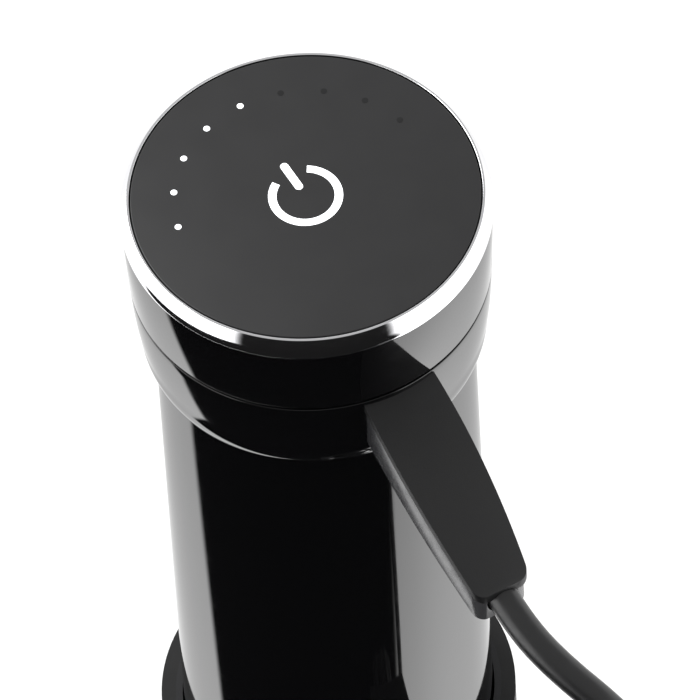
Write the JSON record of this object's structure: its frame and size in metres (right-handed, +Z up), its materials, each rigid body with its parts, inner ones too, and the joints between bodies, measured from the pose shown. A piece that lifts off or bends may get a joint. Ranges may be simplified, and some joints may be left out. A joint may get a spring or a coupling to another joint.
{
  "type": "sous vide circulator",
  "caption": "Slim upright immersion circulator with a round touch-glass head and rotary dial, a motor barrel, a slotted steel sleeve, a pot clamp and a mains cord.",
  "frame": {"origin": "centre of the foot pad's underside, on the axis of head, barrel and sleeve", "axes": "+Z up along the barrel to the glass; -Y the way the cord arm and the pot clamp point; +X to the right seen from -Y"},
  "size_m": [0.1206, 0.186, 0.4],
  "materials": {
    "touch_glass": "satin black printed glass",
    "lit_light_guide": "lit white",
    "unlit_light_guide": "dark",
    "chrome": "polished",
    "gloss_black": "high gloss",
    "matte_black": "matt",
    "satin_black": "satin",
    "white_plastic": "natural",
    "circuit_board": "solder mask",
    "components": "moulded",
    "led": "clear",
    "steel_screws": "zinc plated",
    "brass": "turned",
    "aluminium": "as pressed",
    "stainless": "fine brushed",
    "motor_steel": "plated",
    "silicone": "soft matt",
    "cord_sheath": "satin",
    "plug_plastic": "satin"
  },
  "bodies": {
    "head_and_barrel": {"barrel_collar": "stainless", "barrel_screws": "steel_screws", "barrel_shell": "gloss_black", "board_components": "components", "board_standoffs": "brass", "cord_arm_base": "satin_black", "cord_arm_cover": "matte_black", "cord_coil": "cord_sheath", "cord_tie": "cord_sheath", "dial_sensor": "components", "dial_slide_ring": "white_plastic", "display_board": "circuit_board", "display_chassis": "matte_black", "flange_gasket": "silicone", "head_bowl": "gloss_black", "head_screws": "steel_screws", "heater_flange": "stainless", "heating_elements": "stainless", "indicator_leds": "led", "inner_lead": "cord_sheath", "lead_grommet": "silicone", "lit_indicator_dots": "lit_light_guide", "motor_bearings": "stainless", "motor_can": "motor_steel", "motor_end_cap": "white_plastic", "motor_mount": "aluminium", "motor_stator": "motor_steel", "plug_body": "plug_plastic", "plug_pins": "brass", "power_board": "circuit_board", "power_cord": "cord_sheath", "power_cord_tail": "cord_sheath", "power_symbol": "lit_light_guide", "sensor_probes": "stainless", "shaft_bush": "brass", "shaft_seal": "silicone", "shaft_tube": "stainless", "sleeve_seal": "silicone", "terminal_block": "white_plastic", "touch_glass": "touch_glass", "triac_heatsink": "aluminium", "unlit_indicator_dots": "unlit_light_guide"},
    "dial": {"chrome_trim_ring": "chrome", "dial_ring": "gloss_black", "dial_carrier": "matte_black"},
    "rotor": {"motor_rotor": "motor_steel", "drive_shaft": "stainless", "impeller": "white_plastic", "impeller_nut": "steel_screws", "cooling_fan": "white_plastic"},
    "sleeve": {"sleeve": "stainless"},
    "end_cap": {"bottom_cap": "matte_black", "foot_pad": "silicone"},
    "pot_clamp": {"clamp_ring": "matte_black", "clamp_liner": "silicone", "threaded_insert": "brass"},
    "clamp_jaw": {"pad_socket": "stainless", "clamp_pad": "silicone"},
    "thumbscrew": {"clamp_screw": "matte_black"}
  },
  "joints": [
    {"name": "dial_turn", "type": "hinge", "parent": "head_and_barrel", "child": "dial", "pos_m": [0, 0, 0.386], "axis": [0, 0, 1], "continuous": true},
    {"name": "impeller_turn", "type": "hinge", "parent": "head_and_barrel", "child": "rotor", "pos_m": [0, 0, 0.04], "axis": [0, 0, 1], "continuous": true},
    {"name": "sleeve_pull", "type": "slide", "parent": "head_and_barrel", "child": "sleeve", "axis": [0, 0, -1], "range_m": [0, 0.17]},
    {"name": "cap_twist", "type": "hinge", "parent": "sleeve", "child": "end_cap", "pos_m": [0, 0, 0.02], "axis": [0, 0, 1], "range_deg": [0, 30]},
    {"name": "clamp_height", "type": "slide", "parent": "head_and_barrel", "child": "pot_clamp", "axis": [0, 0, 1], "range_m": [0, 0.09]},
    {"name": "jaw_close", "type": "slide", "parent": "pot_clamp", "child": "clamp_jaw", "axis": [0, 1, 0], "range_m": [0, 0.013]},
    {"name": "screw_turn", "type": "hinge", "parent": "clamp_jaw", "child": "thumbscrew", "pos_m": [0, -0.075, 0.18], "axis": [0, 1, 0], "range_deg": [0, 2340]}
  ],
  "couplings": [
    {"joint": "jaw_close", "follows": "screw_turn", "m_per_rad": 0.00031831}
  ]
}
